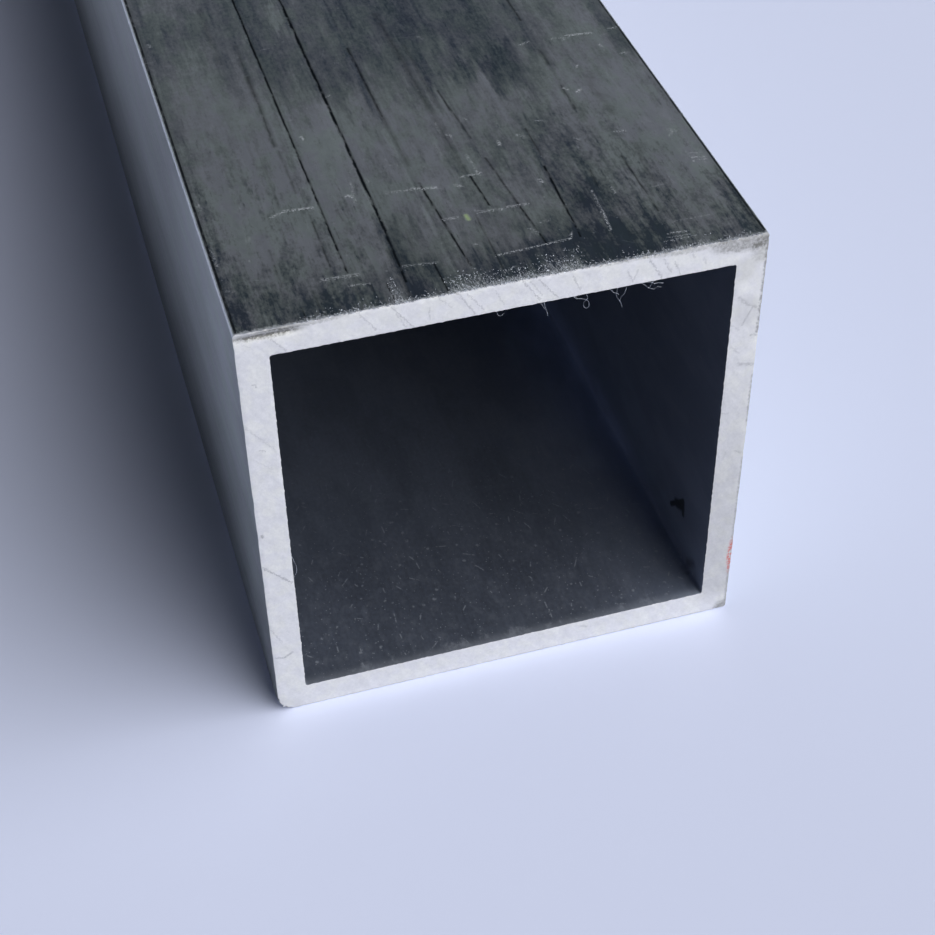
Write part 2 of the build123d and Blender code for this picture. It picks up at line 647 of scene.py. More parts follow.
def makeSoftPatch():
    tree, given, result = newGroup("softPatch", "ShaderNodeTree", {
        "Place": "Vector", "Centre": "Vector", "Reach": (1, 1, 1)}, {"Mask": "Float"})
    out = (given["Place"] - given["Centre"]) / given["Reach"]
    feed(ease(calc("LENGTH", out), 1.0, 0.5), result["Mask"])
    return tree


def makeStrip():
    # Straight-sided. Across its edge the mask falls by Steepness to the mm, and Inside is what that takes.
    tree, given, result = newGroup("strip", "ShaderNodeTree", {
        "Place": "Vector", "Centre": "Vector", "Steepness": (1, 1, 1), "Inside": (1, 1, 1)},
        {"Mask": "Float"})
    away = calc("ABSOLUTE", given["Place"] - given["Centre"])
    beyond = axes(timesPlus(away, given["Steepness"], given["Inside"]))
    feed(calc("SUBTRACT", 0.5, larger(beyond["X"], beyond["Y"]), clamp=True), result["Mask"])
    return tree


def makeShortScratches():
    # One short straight scratch in some of the cells of a flat pattern, each with its own lean
    tree, given, result = newGroup("shortScratches", "ShaderNodeTree", {
        "Place": "Vector", "Cell": 6.0, "Length": 2.0, "Width": 0.08, "Lean": 0.0, "Spread": 0.5,
        "Share": 0.5},
        {"Mask": "Float"})
    cells, chance = cellsOf(given["Place"], given["Cell"])
    turn = timesPlus(chance[0] - 0.5, given["Spread"], given["Lean"])
    laid = axes(rotated(given["Place"] - cells["Position"], turn))
    beside = ease(abs(laid["Y"]), given["Width"], 0.0)
    reach = given["Length"] * (chance[1] + 0.2)
    within = ease(abs(laid["X"]), reach, reach * 0.6)
    feed((chance[2] < given["Share"]) * (beside * within), result["Mask"])
    return tree


def makeSpecks():
    tree, given, result = newGroup("specks", "ShaderNodeTree", {
        "Place": "Vector", "Cell": 1.0, "Radius": 0.1, "Share": 0.3}, {"Mask": "Float"})
    cells, chance = cellsOf(given["Place"], given["Cell"])
    radius = given["Radius"] * (chance[1] + 0.3)
    dot = ease(cells["Distance"] * given["Cell"], radius, radius * 0.4)
    feed((chance[2] < given["Share"]) * dot, result["Mask"])
    return tree


placeOnTube = makePlaceOnTube()
lineMark = makeLineMark()
softPatch = makeSoftPatch()
strip = makeStrip()
shortScratches = makeShortScratches()
specks = makeSpecks()


def newMaterial(name):
    material = bpy.data.materials.new(name)
    material.use_nodes = True
    return material, material.node_tree, material.node_tree.nodes["Principled BSDF"].inputs


def finishOff(material, colour, metallic, roughness, height, strength, depth):
    tree, shader = material.node_tree, material.node_tree.nodes["Principled BSDF"].inputs
    bump = addNode(tree, "ShaderNodeBump", {"Height": height, "Strength": strength, "Distance": depth * mm})
    values = {"Base Color": colour, "Metallic": metallic, "Roughness": roughness, "Normal": bump[0]}
    for label, value in values.items():
        feed(value, shader[label])
    print("finish:", material.name, len(tree.nodes), "nodes")
    return material


def inTurn(place, soFar):
    # The renderer has no room to work out every mark at once. Here the place waits for the marks so far,
    # which move it by far less than can be seen.
    return timesPlus(soFar, (1e-6, 1e-6, 0), place)


def drawLines(place, lines):
    # Each line is (from a, from b, to a, to b, width, strength) on a flat place
    most = 0.0
    for number, (a, b, c, d, width, strength) in enumerate(lines, 1):
        most = useGroup(place.tree, lineMark, Place=place, From=(a, b, 0), To=(c, d, 0), Width=width,
                        Strength=strength, So_Far=most)["Mask"]
        if number % 8 == 0:
            place = inTurn(place, most)
    return most


def drawPatches(place, patches):
    # Each patch is (at a, at b, reach a, reach b, strength)
    total = 0.0
    for number, (a, b, reachA, reachB, strength) in enumerate(patches, 1):
        mark = useGroup(place.tree, softPatch, Place=place, Centre=(a, b, 0), Reach=(reachA, reachB, 1))
        total = timesPlus(mark["Mask"], strength, total)
        if number % 8 == 0:
            place = inTurn(place, total)
    return total


def drawStrips(place, strips):
    # Each strip is (from a, to a, from b, to b, strength)
    total = 0.0
    for number, (fromA, toA, fromB, toB, strength) in enumerate(strips, 1):
        wide, tall = toA - fromA, toB - fromB
        steepA, steepB = 1 / (0.4 + 0.15 * wide), 1 / (0.7 + 0.26 * tall)
        mark = useGroup(place.tree, strip, Place=place, Centre=((fromA + toA) / 2, (fromB + toB) / 2, 0),
                        Steepness=(steepA, steepB, 0), Inside=(-wide / 2 * steepA, -tall / 2 * steepB, 0))
        total = timesPlus(mark["Mask"], strength, total)
        if number % 8 == 0:
            place = inTurn(place, total)
    return total


# The outside as it came from the die, dulled and handled. Patina runs from 0 where it is worn pale to 1.

drawnSkin = {
    "worn": (0.66, 0.695, 0.715),
    "olive": (0.482, 0.51, 0.515),
    "blueDark": (0.132, 0.163, 0.204),
    "greenish": (0.96, 1.018, 0.975),
    "violet": (0.99, 0.985, 1.025),
    "patina": 0.27,
    # How far each kind of unevenness swings the patina
    "broad": 0.26,
    "bands": 0.40,
    "mottle": 0.46,
    "grain": 0.50,
    "drawn": 0.24,
    "drag": 0.30,
    "roughness": 0.38,
    "glancing": (0.30, 0.31, 0.33),    # the grime takes the glare off the upper side at a low angle
}


def makeDrawnSkin():
    tree, given, result = newGroup("drawnSkin", "ShaderNodeTree", {
        "Round": "Vector", "Darker": 0.0, "Streaks": 1.0},
        {"Color": "Color", "Roughness": "Float", "Height": "Float"})
    around = given["Round"]
    broad = layer(around, (0.10, 0.04), 3.0)
    bands = layer(around, (0.8, 0.03), 2.0, seed=5.0)
    mottle = layer(around, (0.75, 0.34), 4.0, 0.65, seed=31.0)
    grain = layer(around, (2.6, 1.4), 3.0, 0.7, seed=11.0)
    drawn = layer(around, (3.2, 0.22), 2.0, 0.6, seed=17.0)
    drag = layer(around, (1.9, 0.30), 4.0, 0.7, seed=29.0)
    tint = layer(around, (0.34, 0.16), 4.0, 0.65, seed=37.0)
    fine = (swing(drawn, drawnSkin["drawn"]) + swing(grain, drawnSkin["grain"])
            + ease(drag, 0.60, 0.74) * drawnSkin["drag"] + swing(bands, drawnSkin["bands"])
            + swing(mottle, drawnSkin["mottle"]))
    patina = (given["Darker"] + drawnSkin["patina"] + swing(broad, drawnSkin["broad"])
              + fine * given["Streaks"])
    colour = mixColour(ease(patina, 0.0, 0.38, shape="LINEAR"), drawnSkin["worn"], drawnSkin["olive"])
    colour = mixColour(ease(patina, 0.34, 1.0, shape="LINEAR"), colour, drawnSkin["blueDark"])
    tinted = mixColour(ease(tint, 0.38, 0.62), drawnSkin["greenish"], drawnSkin["violet"])
    feed(multiplied(colour, tinted), result["Color"])
    feed(drawnSkin["roughness"] + swing(bands, 0.05) + swing(grain, 0.09), result["Roughness"])
    feed(drawn * given["Streaks"], result["Height"])
    return tree


# What happened to the upper side near the sawn end, all across and along in mm

handled = {
    "reach": 75 * mm,
    "line": (0.015, 0.02, 0.026),
    "bare": (0.75, 0.79, 0.85),
    "green": (0.50, 0.66, 0.36),
    # Lighter (below 0) and darker (above 0) places
    "patches": [
        (11.2, 17, 4.4, 11, 0.32), (11.5, 5.5, 5.5, 9, 0.32), (-22, 2.5, 5, 5, 0.26),
        (-14.5, 1.5, 4, 3.4, 0.2), (-9.7, 52.5, 1.1, 4.6, -0.34), (-15.9, 11.6, 1.2, 2.6, -0.3),
        (-20, 16, 4, 8, -0.22), (21.3, 42, 4.2, 6, -0.14), (23.4, 16.5, 2.6, 7, -0.4),
        (21.0, 11, 2.8, 12, -0.14), (21.4, 25, 2.6, 8, -0.22), (17.9, 10.5, 1.8, 3.5, 0.22),
        (7.6, 31.5, 1.8, 3, -0.14), (-21.2, 42, 3.0, 12, -0.09), (11.5, 9, 3.5, 5, 0.18),
        (6.0, 19, 2.2, 6, 0.22), (8.8, 11, 2.4, 9, 0.14),
    ],
    # The same in straight-sided strips: from and to across, from and to along, how much
    "strips": [
        (-8.5, -4.0, 33, 75, 0.46), (-4.1, 2.6, 35, 75, 0.52), (2.6, 12.1, 38, 75, 0.56),
        (8.4, 12.1, 30.5, 39, 0.46), (2.2, 7.4, 31, 38, 0.24), (5.0, 8.4, 34, 38, 0.12),
        (-13.4, -8.5, 37, 75, 0.38), (-25, -13.4, 44, 75, 0.36), (-17.7, -13.4, 38, 47, 0.12),
        (12.1, 15.6, 34, 75, 0.42), (15.6, 25, 36, 75, 0.22), (23, 25, 34, 44, 0.3), (-25, -23.3, 0, 75, 0.2),
        (7.5, 12.6, -2, 6, 0.5), (12.6, 16.2, -2, 5, 0.3), (-9.0, -7.4, -2, 12, 0.62),
        (-7.4, -5.5, -2, 5, 0.4), (-1.6, 7.5, 0.6, 5, 0.5), (-5.6, -1.6, -2, 6, 0.18),
        (-18.6, -9.0, -2, 4.4, 0.16), (15.0, 18.0, -2, 7, 0.28), (19.4, 25, -2, 10, 0.12),
        (24.1, 25, -2, 12, 0.55), (18.3, 19.3, 8, 20, 0.24), (2.0, 4.6, 36, 54, 0.12),
        (0.3, 1.4, 16, 52, 0.2), (-12.8, -8.6, 16, 30, -0.2), (4.5, 7.4, 4, 9, 0.24),
        (2.5, 12.4, 21, 31, 0.13), (7.5, 12.4, 11, 21, 0.1), (-10, -5.6, 24, 33, -0.18),
        (-2.6, 0.2, 8, 22, -0.16), (-7.5, -5.4, 3, 13, 0.26), (14.5, 19.5, 40, 75, 0.13),
        (-18, -8.5, 50, 75, 0.12),
    ],
    "dieLines": [
        (-13.4, 5.8, -13.4, 95, 0.2, 1.35), (-8.7, 3, -8.55, 12, 0.24, 1.5), (-8.5, 11, -8.5, 55, 0.26, 1.6),
        (-8.5, 55, -8.5, 95, 0.24, 1.1), (-8.85, 0.3, -8.9, 8, 0.55, 0.6),
        (-3.45, 17.5, -2.55, 3.6, 0.22, 1.2), (1.5, 17.2, 1.8, 12, 0.2, 1.25),
        (3.8, 19.7, 4.4, 11.7, 0.22, 0.9), (4.4, 11.7, 5.0, 4.7, 0.22, 1.1),
        (8.75, 16.6, 8.3, 4.8, 0.22, 1.3), (9.1, 23.5, 9.1, 18.3, 0.2, 0.8),
        (-5.6, 4.8, -5.5, 0.0, 0.22, 1.1), (0.1, 10.8, 0.1, 2.2, 0.18, 0.8),
        (-12.0, 15.5, -11.6, 11.5, 0.35, 0.6), (-14.6, 14.4, -14.6, 7.2, 0.2, 0.8),
        (-19.3, 11.2, -19.4, 5.6, 0.3, 0.6), (16.4, 16.0, 16.5, 6.4, 0.2, 0.9),
        (18.2, 18.0, 17.9, 11.0, 0.5, 0.4), (-3.9, 44, -3.8, 30, 0.28, 0.9),
        (-3.8, 30, -3.6, 20.8, 0.45, 0.55), (0.7, 50, 0.8, 43, 0.6, 0.45), (0.9, 43, 1.1, 29, 0.55, 0.5),
        (1.9, 43, 2.0, 30, 0.4, 0.4), (1.0, 30, 1.3, 18, 0.5, 0.45), (2.8, 33, 3.0, 29, 0.2, 0.9),
        (3.0, 30, 3.45, 23.5, 0.22, 0.8), (-15.1, 48, -15.1, 42, 0.4, 0.5),
        (-15.1, 41.5, -15.2, 28, 0.45, 0.75), (-15.0, 27, -15.0, 19.5, 0.3, 0.55),
        (-17.3, 57, -17.3, 45, 0.5, 0.35), (-17.0, 29.5, -17.0, 17.5, 0.22, 0.4),
        (15.2, 49, 15.2, 44, 0.28, 0.8), (15.2, 37.4, 15.2, 34.5, 0.5, 0.6), (15.0, 30, 15.0, 25.5, 0.4, 0.8),
        (15.4, 25, 15.5, 20, 0.7, 0.3), (18.2, 31, 18.2, 23.5, 0.7, 0.4), (-6.8, 14, -6.7, 7, 0.3, 0.4),
        (-18.4, 2.2, -18.4, 0.2, 0.2, 1.0), (-10.4, 3.3, -10.4, 0.0, 0.18, 1.1),
        (-11.9, 3.8, -11.8, 2.4, 0.2, 0.8), (-16.9, 4.2, -16.8, 0.4, 0.25, 0.6),
        (12.7, 14.6, 12.5, 12.0, 0.3, 0.7),
    ],
    "scratchSpread": 1.2,
    "scratches": [
        (-18.0, 16.3, -16.6, 17.0, 0.26, 0.7), (-16.6, 17.0, -14.0, 16.7, 0.28, 0.85),
        (-15.6, 5.6, -12.5, 5.4, 0.36, 0.65), (-13.6, 4.1, -11.8, 3.8, 0.2, 0.7),
        (-6.7, 17.0, -4.4, 16.8, 0.3, 0.5), (-4.4, 16.9, -2.1, 16.4, 0.3, 0.75),
        (0.7, 17.4, 2.7, 17.5, 0.24, 0.7), (2.4, 18.0, 2.5, 17.2, 0.2, 0.7),
        (-2.9, 11.2, -1.5, 11.1, 0.28, 0.6), (0.5, 11.4, 2.9, 11.1, 0.32, 0.6),
        (3.4, 11.3, 5.4, 11.2, 0.28, 0.7), (-8.3, 5.4, -5.2, 5.0, 0.22, 0.6),
        (0.2, 4.4, 4.0, 4.6, 0.16, 0.85), (4.0, 4.6, 7.4, 4.8, 0.16, 1.0), (7.4, 4.8, 7.75, 5.6, 0.18, 0.9),
        (16.2, 2.9, 18.0, 2.7, 0.13, 0.95), (15.8, 2.3, 18.2, 2.2, 0.11, 0.7),
        (15.4, 1.8, 18.5, 1.8, 0.12, 0.9), (17.3, 4.5, 21.3, 4.5, 0.14, 0.45),
        (11.8, 11.5, 11.6, 8.0, 0.16, 0.7), (11.6, 8.0, 11.35, 5.0, 0.16, 0.95),
        (13.7, 11.7, 13.8, 10.3, 0.16, 0.6), (22.6, 14.0, 24.3, 13.5, 0.16, 0.65),
        (22.7, 13.2, 24.1, 13.2, 0.15, 0.65), (23.0, 14.6, 24.1, 14.3, 0.14, 0.55),
        (17.2, 20.4, 18.4, 20.3, 0.18, 0.7), (5.9, 22.2, 5.95, 21.6, 0.26, 0.9),
        (8.0, 22.7, 8.5, 22.3, 0.3, 0.7), (10.6, 24.7, 11.3, 24.4, 0.32, 0.6),
        (7.65, 14.7, 7.85, 14.2, 0.2, 1.0), (16.3, 28.5, 16.7, 28.9, 0.26, 1.0),
        (15.2, 29.6, 15.5, 29.2, 0.24, 0.7), (22.6, 19.2, 23.1, 18.6, 0.22, 0.6),
        (22.3, 18.2, 23.0, 19.0, 0.2, 0.5), (13.2, 20.5, 13.6, 20.2, 0.2, 0.5),
        (-12.3, 28.9, -12.2, 28.4, 0.18, 1.0), (-10.4, 17.6, -10.0, 17.3, 0.34, 0.85),
        (-8.1, 19.9, -7.9, 19.2, 0.16, 0.6), (-4.6, 21.6, -4.5, 21.0, 0.14, 0.6),
        (-5.4, 22.6, -5.4, 19.8, 0.14, 0.35), (-0.2, 16.2, 0.3, 15.9, 0.3, 0.7),
        (1.5, 24.9, 1.8, 24.5, 0.24, 0.7), (3.9, 27.3, 4.1, 27.0, 0.18, 0.6),
        (-24.1, 20.4, -24.0, 19.4, 0.3, 0.6), (-24.3, 13.2, -24.2, 10.4, 0.35, 0.5),
        (-20.9, 13.3, -20.5, 13.8, 0.26, 0.4), (-24.2, 6.6, -23.6, 6.3, 0.2, 0.4),
        (13.7, 39.2, 14.7, 39.6, 0.22, 0.75), (16.8, 39.5, 18.4, 39.2, 0.28, 0.45),
        (18.8, 39.5, 21.5, 39.3, 0.24, 0.9), (18.2, 38.7, 19.2, 39.4, 0.2, 0.4),
        (23.4, 39.5, 24.5, 39.6, 0.2, 0.7), (21.6, 36.7, 21.8, 36.0, 0.18, 0.8),
        (23.2, 34.3, 23.8, 34.3, 0.22, 0.85), (17.8, 33.0, 18.0, 33.5, 0.2, 0.75),
        (-8.2, 35.4, -7.7, 35.6, 0.18, 0.7), (-23.7, 51.3, -23.5, 50.7, 0.2, 0.7),
        (-6.2, 41.7, -5.3, 41.5, 0.18, 0.4), (3.8, 44.3, 4.3, 43.6, 0.2, 0.4),
        (5.6, 8.0, 6.6, 8.2, 0.22, 0.45), (-1.2, 6.6, -0.9, 6.4, 0.22, 0.6),
        (-20.3, 33.5, -20.1, 33.0, 0.18, 0.4), (1.0, 27.4, 0.9, 25.2, 0.24, 0.45),
        (2.3, 21.0, 2.5, 18.2, 0.26, 0.45), (6.8, 26.0, 6.9, 23.6, 0.22, 0.35),
        (-0.1, 24.0, 0.0, 21.0, 0.22, 0.35), (-9.6, 19.5, -9.9, 16.0, 0.28, 0.4),
        (13.4, 20.3, 13.0, 18.8, 0.22, 0.45), (4.3, 7.4, 4.9, 6.5, 0.26, 0.5),
    ],
    # How much further than elsewhere the saw tore the edge back: at across, half as wide, by how far
    "tornBack": [
        (5.4, 2.4, 2.2), (-3.6, 2.2, 1.9), (0.8, 3.2, 1.1), (-10.0, 0.7, 2.6), (17.0, 3.0, 0.7),
    ],
    "greenSpeck": (-0.75, 11.1, -0.7, 10.4, 0.34, 1.2),
}


def makeMillFinish(name, skin, nearTop, glancing=(1, 1, 1)):
    # The near part of the upper side carries every mark in the photograph. The rest of the skin is plainer.
    material, tree, shader = newMaterial(name)
    feed(glancing, shader["Specular Tint"])
    tube = useGroup(tree, placeOnTube)
    flat, around, up, fromCut = tube["Place"], tube["Round"], tube["Up"], tube["From Cut"]
    sideways = abs(tube["Across"])
    half = side / mm / 2
    onTop = ease(up, side / mm - 0.5, side / mm - 0.2)
    darker = ease(fromCut, 9.0, 0.5) * 0.12
    if nearTop:
        # The placed patches fray along the tube
        flat = flat * (1, 1, 0)
        fray = layer(around, (1.1, 0.14), 4.0, 0.65, seed=41.0)
        fringe = swing(fray, 7.0) * ease(fromCut, 3.0, 30.0, 0.4, 1.0)
        place = flat + vectorOf(swing(fray, 0.7), fringe)
        patches = drawPatches(place, handled["patches"])
        strips = drawStrips(inTurn(place, patches), handled["strips"])
        placed = (patches + strips) * ease(fromCut, 60.0, 74.0, 1.0, 0.0)
        darker = placed + darker + ease(fromCut, 0.0, 60.0, -0.02, -0.16, shape="LINEAR")
        # Coarser to both sides of the middle, and finer further back
        streaky = ease(fromCut, 14.0, 36.0, ease(sideways, 6.0, 16.0, 1.05, 1.5), 0.68)
    else:
        streaky = timesPlus(onTop, 0.58, 0.1)
    worn = useGroup(tree, skin, Round=around, Darker=darker, Streaks=streaky)
    # Painted shade: both long sides are darkened, low down and away from the cut
    paintedSideShade = ease(fromCut, 2.0, 45.0, 0.91, 0.59) * ease(up, 34.0, 4.0, 1.0, 0.78)
    colour = multiplied(worn["Color"], mixColour(onTop, greyOf(paintedSideShade), (1, 1, 1)))

    # Dark lines that the die drew, and painted shade along the long edges: a dark line at each rounded edge
    # and a darker band on the upper side beside it
    dieNoise = layer(around, (1.6, 0.5), 3.0, 0.65, seed=47.0)
    paintedEdgeLine = ease(abs(sideways - 24.66), 0.22, 0.06) * ease(dieNoise, 0.25, 0.5, 0.7, 1.0)
    paintedEdgeShade = ease(sideways, 23.9, 24.6) * 0.22
    lines = larger(paintedEdgeLine, paintedEdgeShade) * onTop
    if nearTop:
        wander = vectorOf(swing(dieNoise, 0.10))
        drawnLines = drawLines(flat + wander, handled["dieLines"])
        broken = ease(dieNoise, 0.32, 0.54, 0.5, 1.0)
        lines = larger(drawnLines * broken, lines)
    else:
        long = strongest([ease(abs(tube["Across"] + at), 0.20, 0.05) for at in (13.4, 8.5)])
        lines = larger(long * onTop, lines)
    colour = mixColour(smaller(lines, 1.0), colour, handled["line"])

    # Pale scratches and specks down to bare metal
    crumble = layer(around, (5.0, 5.0), 2.0, 0.6, seed=53.0)
    crumbly = ease(crumble, 0.42, 0.62)
    short = useGroup(tree, shortScratches, Place=around, Cell=6.0, Length=1.2, Width=0.10, Lean=0.05,
                     Spread=0.6, Share=0.30)
    crossing = useGroup(tree, shortScratches, Place=around, Cell=3.4, Length=0.7, Width=0.08, Lean=1.2,
                        Spread=2.6, Share=0.30)
    dots = useGroup(tree, specks, Place=around, Cell=1.7, Radius=0.12, Share=0.22)
    bare = strongest([short["Mask"] * crumbly * 0.35, crossing["Mask"] * 0.14, dots["Mask"] * 0.26])
    bare = bare * timesPlus(onTop, 0.8, 0.2)
    if nearTop:
        jitter = swing(crumble, 0.5)
        shaken = flat + vectorOf(jitter, jitter)
        spread = handled["scratchSpread"]
        scratched = drawLines(shaken, [
            (*ends, wide * spread, strong) for *ends, wide, strong in handled["scratches"]])
        flecks = ease(timesPlus(scratched, 0.16, crumble), 0.53, 0.68)
        flecks = flecks * calc("MULTIPLY", scratched, 1.3, clamp=True)
        bare = larger(bare, flecks * 0.85)

        # The saw tore the edge back into tufts
        across = flat * (1, 0, 0)
        further = drawPatches(across, [(at, 0, wide, 1, far) for at, wide, far in handled["tornBack"]])
        tufts = layer(around, (6.5, 1.7), 3.0, 0.75, seed=59.0)
        reach = further + ease(dieNoise, 0.3, 0.7, 0.5, 1.0)
        outwards = fromCut / reach
        torn = ease(timesPlus(outwards, -0.26, tufts), 0.36, 0.52) * ease(outwards, 1.3, 0.5)
        bare = larger(bare, torn * ease(outwards, 0.9, 0.1, 0.34, 0.80))
    ragged = layer(around, (2.5, 2.5), 3.0, 0.7, seed=61.0)
    bareEdge = ease(timesPlus(ragged, -0.9, fromCut), 0.02, -0.26)
    bare = larger(bare, bareEdge * timesPlus(onTop, 0.55, 0.12))
    # Painted highlight: the long corners are painted bright like bare metal, the left one most, down onto its
    # side
    paintedCornerHighlight = ease(smaller(sideways, abs(up - half)), 24.4, 24.62)
    paintedCornerHighlight = paintedCornerHighlight * ease(up, side / mm - 0.12, side / mm - 0.2)
    paintedCornerHighlight = paintedCornerHighlight * ease(tube["Across"], 20.0, -20.0, 0.3, 1.0)
    bare = larger(bare, paintedCornerHighlight * timesPlus(ragged, 1.2, 0.5))
    colour = mixColour(smaller(bare, 1.0), colour, handled["bare"])
    if nearTop:
        green = smaller(drawLines(flat, [handled["greenSpeck"]]), 1.0)
        colour = mixColour(green, colour, handled["green"])
        bare = larger(bare, green * 0.8)
    # Torn and scratched metal scatters light as paint does, and so does the painted corner highlight
    return finishOff(material, colour, timesPlus(bare, -0.5, 1.0), timesPlus(lines, 0.2, worn["Roughness"]),
                     worn["Height"], 0.5, 0.005)


# The bright sawn ends

sawn = {
    "cool": (0.795, 0.785, 0.765),
    "warm": (0.82, 0.81, 0.765),
    "sawLine": (0.36, 0.355, 0.35),
    "grime": (0.24, 0.235, 0.21),
    "red": (0.66, 0.22, 0.20),
    "roughness": 0.58,
    "metallic": 0.85,
    # Across and up on the near end. The four last lines, along the right outer edge, are painted shade of the
    # rounded edge; the rest are saw marks
    "sawLines": [
        (-21.9, 49.1, -20.5, 47.2, 0.12, 0.5), (-14.0, 49.9, -12.3, 47.6, 0.12, 0.5),
        (-10.8, 49.7, -8.9, 47.0, 0.12, 0.6), (-10.4, 48.9, -9.6, 47.2, 0.1, 0.4),
        (-7.4, 48.9, -7.4, 47.5, 0.1, 0.4), (-6.6, 49.8, -5.3, 48.4, 0.1, 0.4),
        (-4.8, 49.9, -3.2, 47.2, 0.12, 0.55), (-3.9, 49.6, -2.4, 47.5, 0.12, 0.5),
        (-1.3, 49.3, -0.5, 47.6, 0.1, 0.4), (1.2, 49.9, 2.9, 47.4, 0.12, 0.6),
        (2.0, 49.6, 3.1, 47.8, 0.1, 0.45), (2.8, 49.6, 4.6, 47.2, 0.12, 0.6),
        (6.0, 49.3, 6.7, 47.6, 0.12, 0.5), (11.2, 48.6, 11.8, 47.4, 0.14, 0.45),
        (12.2, 48.6, 11.9, 47.6, 0.12, 0.4), (13.1, 49.8, 14.6, 47.2, 0.14, 0.6),
        (14.7, 49.2, 15.5, 47.6, 0.14, 0.5), (15.8, 48.7, 16.4, 47.1, 0.12, 0.5),
        (17.4, 49.5, 17.7, 48.7, 0.12, 0.4), (18.6, 48.5, 18.9, 47.8, 0.12, 0.4),
        (-24.9, 21.3, -22.2, 18.5, 0.14, 0.7), (-24.8, 39.2, -22.4, 36.1, 0.1, 0.3),
        (-24.7, 35.5, -22.8, 33.7, 0.1, 0.22), (-25.0, 12.9, -23.9, 10.3, 0.12, 0.35),
        (-24.6, 49.0, -23.6, 48.3, 0.12, 0.25), (-24.8, 8.2, -23.8, 8.0, 0.16, 0.5),
        (-23.8, 8.0, -23.0, 8.5, 0.2, 0.65), (-23.7, 44.1, -23.4, 43.8, 0.16, 0.6),
        (-24.6, 25.6, -24.5, 25.4, 0.18, 0.9), (-23.8, 36.3, -23.3, 36.1, 0.13, 0.5),
        (22.6, 43.0, 23.5, 42.1, 0.28, 0.45), (23.5, 42.1, 24.5, 41.5, 0.2, 0.4),
        (24.1, 41.6, 23.2, 39.6, 0.16, 0.45), (22.0, 40.0, 22.9, 39.1, 0.16, 0.3),
        (24.2, 38.2, 25.0, 38.0, 0.16, 0.5), (22.3, 37.1, 23.2, 36.2, 0.2, 0.3),
        (23.3, 34.8, 25.0, 34.4, 0.3, 0.5), (24.0, 23.3, 24.8, 22.8, 0.18, 0.45),
        (22.7, 22.4, 23.0, 23.4, 0.16, 0.25), (22.1, 28.8, 22.8, 28.6, 0.16, 0.3),
        (8.2, 2.3, 8.8, 2.0, 0.2, 0.4), (24.9, 0.2, 25.0, 22.0, 0.3, 0.85),
        (24.9, 38.5, 24.95, 49.5, 0.3, 1.0), (24.95, 27.0, 24.95, 33.0, 0.24, 0.8),
        (23.9, 0.1, 24.9, 0.7, 0.5, 0.8),
    ],
    # Grime on the near end: at across, up, and how far it reaches each way
    "grimePatches": [
        (-22.0, 49.4, 4.2, 0.7, 0.62), (-22.0, 49.3, 3.4, 0.25, 0.45), (-18.5, 49.8, 4.5, 0.4, 0.4),
        (22.8, 49.3, 4.4, 1.2, 0.62), (24.4, 48.2, 1.4, 1.8, 0.35), (17.0, 49.9, 5.0, 0.7, 0.42),
        (11.0, 50.0, 5.0, 0.45, 0.4), (22.6, 46.2, 2.0, 1.8, 0.18), (24.6, 0.4, 1.3, 1.1, 0.45),
        (23.5, 41.2, 1.8, 2.4, 0.16), (-24.0, 0.6, 2.0, 1.5, 0.1), (0.0, 50.0, 26.0, 0.22, 0.22),
    ],
    "redSmear": (24.85, 8.0, 0.5, 3.2, 1.0),
}


def makeSawnFinish():
    material, tree, shader = newMaterial("sawnMetal")
    tube = useGroup(tree, placeOnTube)
    across, up = tube["Across"], tube["Up"]
    onNear = tube["Along"] < 100.0
    flat = vectorOf(across, up)
    turned = rotated(flat, -cutShape["sawLean"])
    mottle = layer(flat, (0.5, 0.5), 3.0)
    kerf = layer(turned, (0.15, 2.2), 3.0, 0.6)
    grain = layer(flat, (3.0, 3.0), 3.0, 0.7, seed=9.0)
    colour = mixColour(ease(mottle, 0.40, 0.64), sawn["cool"], sawn["warm"])
    smears = layer(turned, (0.6, 1.0), 3.0, 0.65, seed=67.0)
    shade = ease(up, 0.0, 5.0, 0.955, 1.0) + swing(grain, 0.10) + swing(kerf, 0.03) + swing(smears, 0.10)
    # The right wall of the near end is greyer, most of all low down
    greyer = ease(across, 21.0, 22.4) * ease(up, 46.0, 12.0, 0.0, 0.19)
    colour = multiplied(colour, greyOf(shade - greyer * (onNear * ease(up, 0.5, 4.0))))
    wobble = swing(grain, 0.25)
    wobbled = flat + vectorOf(wobble, wobble)
    # Saw marks, and painted shade along the right outer edge, in one colour
    lines = drawLines(wobbled, sawn["sawLines"]) * timesPlus(ease(grain, 0.38, 0.55), 0.5, 0.5)
    colour = mixColour(lines * onNear, colour, sawn["sawLine"])
    dirt = drawPatches(wobbled, sawn["grimePatches"])
    dirt = calc("MULTIPLY", dirt, ease(grain, 0.30, 0.66, 0.55, 1.15), clamp=True)
    colour = mixColour(dirt * onNear, colour, sawn["grime"])
    red = drawPatches(flat, [sawn["redSmear"]]) * ease(grain, 0.40, 0.56)
    colour = mixColour(red * onNear, colour, sawn["red"])
    return finishOff(material, colour, sawn["metallic"], swing(grain, 0.12) + sawn["roughness"],
                     timesPlus(kerf, 0.3, grain), 0.4, 0.025)


# The bore: the same metal, unhandled, dull and dusty

bore = {
    "metal": (0.116, 0.134, 0.176),
    "dull": (0.097, 0.113, 0.150),
    "dust": (0.60, 0.64, 0.70),
    "mark": (0.02, 0.024, 0.03),
    "roughness": 0.42,
    "metallic": 0.5,
    # Dark spots on the right wall by the mouth, along and up
    "spots": [
        (10.0, 7.4, 6.9, 10.6, 0.4, 2.0), (6.9, 10.6, 6.7, 8.8, 0.45, 2.0), (8.6, 8.8, 7.0, 9.7, 0.8, 2.0),
        (4.3, 3.6, 2.9, 4.9, 0.8, 0.6), (4.0, 2.3, 3.4, 2.8, 0.5, 0.5),
    ],
}


